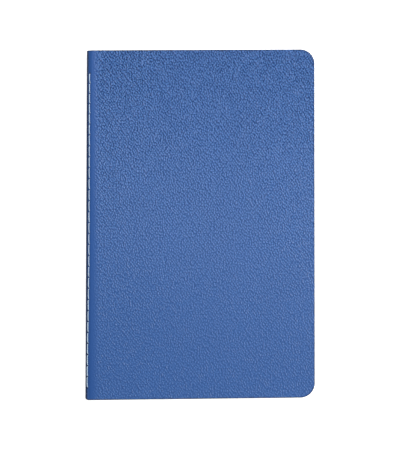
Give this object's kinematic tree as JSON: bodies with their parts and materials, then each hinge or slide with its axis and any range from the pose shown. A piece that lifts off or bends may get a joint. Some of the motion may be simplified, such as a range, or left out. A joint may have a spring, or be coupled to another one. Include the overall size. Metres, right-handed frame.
{
  "type": "thread-sewn notebook",
  "caption": "Flexible-cover notebook of nested folded sheets, thread-sewn along a rounded spine, with rounded fore-edge corners. The front cover and leaves open.",
  "frame": {"origin": "middle of the closed notebook's box, on the surface that it lies on", "axes": "+X from spine to fore-edge, +Y towards the head, +Z out of the front cover"},
  "size_m": [0.1414, 0.216, 0.0066],
  "materials": {
    "cover": "pebbled coated leather-look sheet, satin, blue",
    "paper": "uncoated ivory writing paper",
    "thread": "twisted polyester sewing thread, pale blue"
  },
  "bodies": {
    "root": {"cover_back": "cover", "needle_thread": "thread", "bobbin_thread": "thread", "sheet_01_back": "paper", "sheet_02_back": "paper", "sheet_03_back": "paper", "sheet_04_back": "paper", "sheet_05_back": "paper", "sheet_06_back": "paper", "sheet_07_back": "paper", "sheet_08_back": "paper", "sheet_09_back": "paper", "sheet_10_back": "paper", "sheet_11_back": "paper", "sheet_12_back": "paper", "sheet_13_back": "paper", "sheet_14_back": "paper", "sheet_15_back": "paper", "sheet_16_back": "paper", "sheet_17_back": "paper", "sheet_18_back": "paper", "sheet_19_back": "paper", "sheet_20_back": "paper"},
    "front_cover": {"cover_front": "cover"},
    "sheet_01_front_leaf": {"sheet_01_front": "paper"},
    "sheet_02_front_leaf": {"sheet_02_front": "paper"},
    "sheet_03_front_leaf": {"sheet_03_front": "paper"},
    "sheet_04_front_leaf": {"sheet_04_front": "paper"},
    "sheet_05_front_leaf": {"sheet_05_front": "paper"},
    "sheet_06_front_leaf": {"sheet_06_front": "paper"},
    "sheet_07_front_leaf": {"sheet_07_front": "paper"},
    "sheet_08_front_leaf": {"sheet_08_front": "paper"},
    "sheet_09_front_leaf": {"sheet_09_front": "paper"},
    "sheet_10_front_leaf": {"sheet_10_front": "paper"},
    "sheet_11_front_leaf": {"sheet_11_front": "paper"},
    "sheet_12_front_leaf": {"sheet_12_front": "paper"},
    "sheet_13_front_leaf": {"sheet_13_front": "paper"},
    "sheet_14_front_leaf": {"sheet_14_front": "paper"},
    "sheet_15_front_leaf": {"sheet_15_front": "paper"},
    "sheet_16_front_leaf": {"sheet_16_front": "paper"},
    "sheet_17_front_leaf": {"sheet_17_front": "paper"},
    "sheet_18_front_leaf": {"sheet_18_front": "paper"},
    "sheet_19_front_leaf": {"sheet_19_front": "paper"},
    "sheet_20_front_leaf": {"sheet_20_front": "paper"}
  },
  "joints": [
    {"name": "front_cover_hinge", "type": "hinge", "parent": "root", "child": "front_cover", "pos_m": [-0.06927, 0, 0.00666], "axis": [0, -1, 0], "range_deg": [0, 179.5]},
    {"name": "sheet_01_turn", "type": "hinge", "parent": "root", "child": "sheet_01_front_leaf", "pos_m": [-0.06927, 0, 0.00666], "axis": [0, -1, 0], "range_deg": [0, 179.5]},
    {"name": "sheet_02_turn", "type": "hinge", "parent": "root", "child": "sheet_02_front_leaf", "pos_m": [-0.06927, 0, 0.00666], "axis": [0, -1, 0], "range_deg": [0, 179.5]},
    {"name": "sheet_03_turn", "type": "hinge", "parent": "root", "child": "sheet_03_front_leaf", "pos_m": [-0.06927, 0, 0.00666], "axis": [0, -1, 0], "range_deg": [0, 179.5]},
    {"name": "sheet_04_turn", "type": "hinge", "parent": "root", "child": "sheet_04_front_leaf", "pos_m": [-0.06927, 0, 0.00666], "axis": [0, -1, 0], "range_deg": [0, 179.5]},
    {"name": "sheet_05_turn", "type": "hinge", "parent": "root", "child": "sheet_05_front_leaf", "pos_m": [-0.06927, 0, 0.00666], "axis": [0, -1, 0], "range_deg": [0, 179.5]},
    {"name": "sheet_06_turn", "type": "hinge", "parent": "root", "child": "sheet_06_front_leaf", "pos_m": [-0.06927, 0, 0.00666], "axis": [0, -1, 0], "range_deg": [0, 179.5]},
    {"name": "sheet_07_turn", "type": "hinge", "parent": "root", "child": "sheet_07_front_leaf", "pos_m": [-0.06927, 0, 0.00666], "axis": [0, -1, 0], "range_deg": [0, 179.5]},
    {"name": "sheet_08_turn", "type": "hinge", "parent": "root", "child": "sheet_08_front_leaf", "pos_m": [-0.06927, 0, 0.00666], "axis": [0, -1, 0], "range_deg": [0, 179.5]},
    {"name": "sheet_09_turn", "type": "hinge", "parent": "root", "child": "sheet_09_front_leaf", "pos_m": [-0.06927, 0, 0.00666], "axis": [0, -1, 0], "range_deg": [0, 179.5]},
    {"name": "sheet_10_turn", "type": "hinge", "parent": "root", "child": "sheet_10_front_leaf", "pos_m": [-0.06927, 0, 0.00666], "axis": [0, -1, 0], "range_deg": [0, 179.5]},
    {"name": "sheet_11_turn", "type": "hinge", "parent": "root", "child": "sheet_11_front_leaf", "pos_m": [-0.06927, 0, 0.00666], "axis": [0, -1, 0], "range_deg": [0, 179.5]},
    {"name": "sheet_12_turn", "type": "hinge", "parent": "root", "child": "sheet_12_front_leaf", "pos_m": [-0.06927, 0, 0.00666], "axis": [0, -1, 0], "range_deg": [0, 179.5]},
    {"name": "sheet_13_turn", "type": "hinge", "parent": "root", "child": "sheet_13_front_leaf", "pos_m": [-0.06927, 0, 0.00666], "axis": [0, -1, 0], "range_deg": [0, 179.5]},
    {"name": "sheet_14_turn", "type": "hinge", "parent": "root", "child": "sheet_14_front_leaf", "pos_m": [-0.06927, 0, 0.00666], "axis": [0, -1, 0], "range_deg": [0, 179.5]},
    {"name": "sheet_15_turn", "type": "hinge", "parent": "root", "child": "sheet_15_front_leaf", "pos_m": [-0.06927, 0, 0.00666], "axis": [0, -1, 0], "range_deg": [0, 179.5]},
    {"name": "sheet_16_turn", "type": "hinge", "parent": "root", "child": "sheet_16_front_leaf", "pos_m": [-0.06927, 0, 0.00666], "axis": [0, -1, 0], "range_deg": [0, 179.5]},
    {"name": "sheet_17_turn", "type": "hinge", "parent": "root", "child": "sheet_17_front_leaf", "pos_m": [-0.06927, 0, 0.00666], "axis": [0, -1, 0], "range_deg": [0, 179.5]},
    {"name": "sheet_18_turn", "type": "hinge", "parent": "root", "child": "sheet_18_front_leaf", "pos_m": [-0.06927, 0, 0.00666], "axis": [0, -1, 0], "range_deg": [0, 179.5]},
    {"name": "sheet_19_turn", "type": "hinge", "parent": "root", "child": "sheet_19_front_leaf", "pos_m": [-0.06927, 0, 0.00666], "axis": [0, -1, 0], "range_deg": [0, 179.5]},
    {"name": "sheet_20_turn", "type": "hinge", "parent": "root", "child": "sheet_20_front_leaf", "pos_m": [-0.06927, 0, 0.00666], "axis": [0, -1, 0], "range_deg": [0, 179.5]}
  ],
  "couplings": [
    {"joint": "sheet_01_turn", "follows": "front_cover_hinge", "ratio": 0.996},
    {"joint": "sheet_02_turn", "follows": "front_cover_hinge", "ratio": 0.9944},
    {"joint": "sheet_03_turn", "follows": "front_cover_hinge", "ratio": 0.9927},
    {"joint": "sheet_04_turn", "follows": "front_cover_hinge", "ratio": 0.9911},
    {"joint": "sheet_05_turn", "follows": "front_cover_hinge", "ratio": 0.9895},
    {"joint": "sheet_06_turn", "follows": "front_cover_hinge", "ratio": 0.9878},
    {"joint": "sheet_07_turn", "follows": "front_cover_hinge", "ratio": 0.9862},
    {"joint": "sheet_08_turn", "follows": "front_cover_hinge", "ratio": 0.9846},
    {"joint": "sheet_09_turn", "follows": "front_cover_hinge", "ratio": 0.9829},
    {"joint": "sheet_10_turn", "follows": "front_cover_hinge", "ratio": 0.9813},
    {"joint": "sheet_11_turn", "follows": "front_cover_hinge", "ratio": 0.9797},
    {"joint": "sheet_12_turn", "follows": "front_cover_hinge", "ratio": 0.9781},
    {"joint": "sheet_13_turn", "follows": "front_cover_hinge", "ratio": 0.9764},
    {"joint": "sheet_14_turn", "follows": "front_cover_hinge", "ratio": 0.9748},
    {"joint": "sheet_15_turn", "follows": "front_cover_hinge", "ratio": 0.9732},
    {"joint": "sheet_16_turn", "follows": "front_cover_hinge", "ratio": 0.9715},
    {"joint": "sheet_17_turn", "follows": "front_cover_hinge", "ratio": 0.9699},
    {"joint": "sheet_18_turn", "follows": "front_cover_hinge", "ratio": 0.9683},
    {"joint": "sheet_19_turn", "follows": "front_cover_hinge", "ratio": 0.9666},
    {"joint": "sheet_20_turn", "follows": "front_cover_hinge", "ratio": 0.965}
  ]
}
